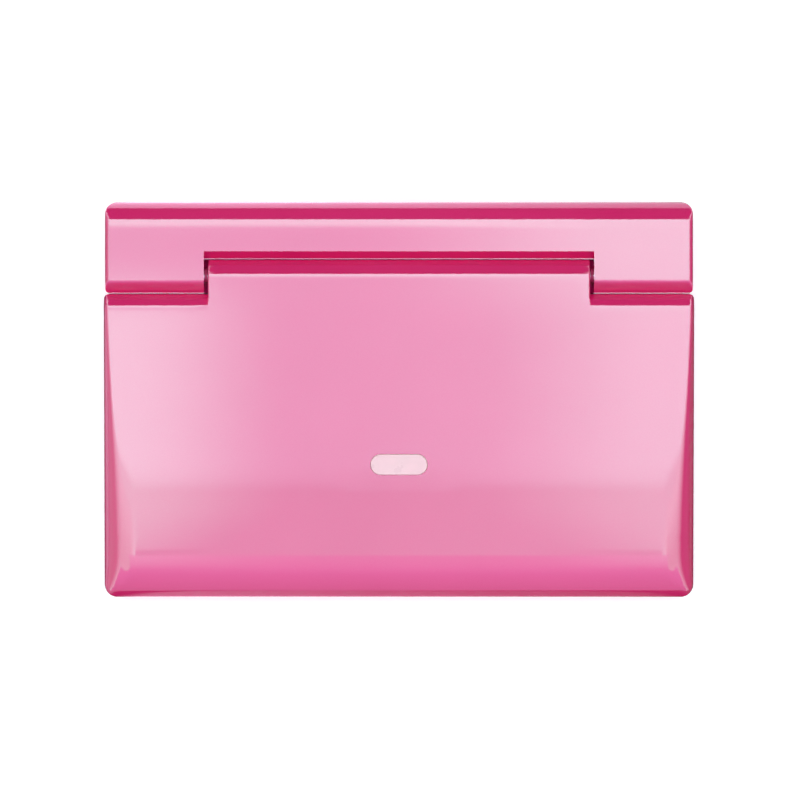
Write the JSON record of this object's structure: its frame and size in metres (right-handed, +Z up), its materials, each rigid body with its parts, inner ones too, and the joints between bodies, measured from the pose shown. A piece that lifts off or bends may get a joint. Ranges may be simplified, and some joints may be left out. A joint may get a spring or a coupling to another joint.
{
  "type": "clamshell handheld game console",
  "caption": "Clamshell handheld game console, folded shut: a pink lid with its hinge arm in a full-width rear bar, over a base with screen, buttons and pads.",
  "frame": {"origin": "on the table under the middle of the closed console", "axes": "+Z up, +Y towards the hinge bar, +X to the right of someone who faces the front edge"},
  "size_m": [0.156, 0.1046, 0.025],
  "materials": {
    "pink_lacquer": "metallic pearl lacquer under a clear gloss coat",
    "pale_plastic": "satin",
    "badge_inlay": "polished, pale pink",
    "grey_plastic": "satin",
    "dark_plastic": "fine texture",
    "black_window": "polished",
    "display_glass": "polished",
    "steel": "brushed",
    "rubber": "matte",
    "silicone": "matte",
    "amber_film": "smooth film",
    "antenna_foil": "rolled",
    "board_laminate": "solder mask",
    "chip_black": "moulded"
  },
  "bodies": {
    "base": {"bottom_case": "pink_lacquer", "rear_bar": "pink_lacquer", "battery_cover": "pink_lacquer", "control_deck": "pale_plastic", "hinge_washers": "pale_plastic", "pad_base": "dark_plastic", "game_card_slot": "dark_plastic", "headphone_jack": "dark_plastic", "battery_pack": "dark_plastic", "lower_window": "black_window", "lower_display": "display_glass", "hinge_tube_left": "steel", "hinge_pin_right": "steel", "hinge_bracket_left": "steel", "hinge_bracket_right": "steel", "bracket_screws": "steel", "cover_screws": "steel", "case_screws": "steel", "board_shield": "steel", "memory_card_slot": "steel", "charging_port": "steel", "wireless_module": "steel", "shoulder_springs": "steel", "rubber_feet": "rubber", "button_membrane": "silicone", "d_pad_membrane": "silicone", "hinge_flex": "amber_film", "antenna": "antenna_foil", "main_board": "board_laminate", "board_chips": "chip_black"},
    "lid": {"lid_shell": "pink_lacquer", "lid_badge": "badge_inlay", "lid_bezel": "pale_plastic", "upper_window": "black_window", "upper_display": "display_glass", "speaker_left": "dark_plastic", "speaker_right": "dark_plastic", "lid_screws": "steel", "lid_bumpers": "rubber", "lid_magnet": "steel", "display_flex": "amber_film", "hinge_sleeve_left": "steel", "hinge_sleeve_right": "steel"},
    "pad_carriage": {"pad_slider": "pale_plastic"},
    "thumb_pad": {"thumb_pad": "grey_plastic"},
    "d_pad_cross": {"d_pad_pivot": "steel"},
    "d_pad": {"d_pad": "dark_plastic"},
    "button_top": {"button_top": "pale_plastic"},
    "button_right": {"button_right": "pale_plastic"},
    "button_bottom": {"button_bottom": "pale_plastic"},
    "button_left": {"button_left": "pale_plastic"},
    "select_button": {"select_button": "pale_plastic"},
    "start_button": {"start_button": "pale_plastic"},
    "home_button": {"home_button": "pale_plastic"},
    "shoulder_left": {"shoulder_left": "grey_plastic"},
    "shoulder_right": {"shoulder_right": "grey_plastic"},
    "volume_slider": {"volume_slider": "dark_plastic"},
    "power_button": {"power_button": "pale_plastic"},
    "card_flap": {"card_flap": "pink_lacquer"},
    "stylus": {"stylus": "dark_plastic"}
  },
  "joints": [
    {"name": "lid_hinge", "type": "hinge", "parent": "base", "child": "lid", "pos_m": [0, 0.03278, 0.0226], "axis": [-1, 0, 0], "range_deg": [0, 135]},
    {"name": "thumb_pad_x", "type": "slide", "parent": "base", "child": "pad_carriage", "axis": [1, 0, 0], "range_m": [-0.0022, 0.0022], "stiffness_N_per_m": 150},
    {"name": "thumb_pad_y", "type": "slide", "parent": "pad_carriage", "child": "thumb_pad", "axis": [0, 1, 0], "range_m": [-0.0022, 0.0022], "stiffness_N_per_m": 150},
    {"name": "d_pad_tilt_x", "type": "hinge", "parent": "base", "child": "d_pad_cross", "pos_m": [-0.061, -0.02096, 0.01025], "axis": [1, 0, 0], "range_deg": [-3.5, 3.5], "stiffness_Nm_per_rad": 0.08},
    {"name": "d_pad_tilt_y", "type": "hinge", "parent": "d_pad_cross", "child": "d_pad", "pos_m": [-0.061, -0.02096, 0.01025], "axis": [0, 1, 0], "range_deg": [-3.5, 3.5], "stiffness_Nm_per_rad": 0.08},
    {"name": "button_top_press", "type": "slide", "parent": "base", "child": "button_top", "axis": [0, 0, -1], "range_m": [0, 0.0009], "stiffness_N_per_m": 300},
    {"name": "button_right_press", "type": "slide", "parent": "base", "child": "button_right", "axis": [0, 0, -1], "range_m": [0, 0.0009], "stiffness_N_per_m": 300},
    {"name": "button_bottom_press", "type": "slide", "parent": "base", "child": "button_bottom", "axis": [0, 0, -1], "range_m": [0, 0.0009], "stiffness_N_per_m": 300},
    {"name": "button_left_press", "type": "slide", "parent": "base", "child": "button_left", "axis": [0, 0, -1], "range_m": [0, 0.0009], "stiffness_N_per_m": 300},
    {"name": "select_button_press", "type": "slide", "parent": "base", "child": "select_button", "axis": [0, 0, -1], "range_m": [0, 0.0009], "stiffness_N_per_m": 300},
    {"name": "start_button_press", "type": "slide", "parent": "base", "child": "start_button", "axis": [0, 0, -1], "range_m": [0, 0.0009], "stiffness_N_per_m": 300},
    {"name": "home_button_press", "type": "slide", "parent": "base", "child": "home_button", "axis": [0, 0, -1], "range_m": [0, 0.0009], "stiffness_N_per_m": 300},
    {"name": "shoulder_left_press", "type": "hinge", "parent": "base", "child": "shoulder_left", "pos_m": [-0.0489, 0.04745, 0.009], "axis": [0, 0, 1], "range_deg": [0, 4], "stiffness_Nm_per_rad": 0.3},
    {"name": "shoulder_right_press", "type": "hinge", "parent": "base", "child": "shoulder_right", "pos_m": [0.0489, 0.04745, 0.009], "axis": [0, 0, -1], "range_deg": [0, 4], "stiffness_Nm_per_rad": 0.3},
    {"name": "volume_slide", "type": "slide", "parent": "base", "child": "volume_slider", "axis": [0, 1, 0], "range_m": [-0.004, 0.004]},
    {"name": "power_press", "type": "slide", "parent": "base", "child": "power_button", "axis": [-1, 0, 0], "range_m": [0, 0.0005], "stiffness_N_per_m": 300},
    {"name": "card_flap_hinge", "type": "hinge", "parent": "base", "child": "card_flap", "pos_m": [-0.07705, -0.02195, 0.00455], "axis": [0, -1, 0], "range_deg": [0, 90]},
    {"name": "stylus_slide", "type": "slide", "parent": "base", "child": "stylus", "axis": [1, 0, 0], "range_m": [0, 0.083]}
  ]
}
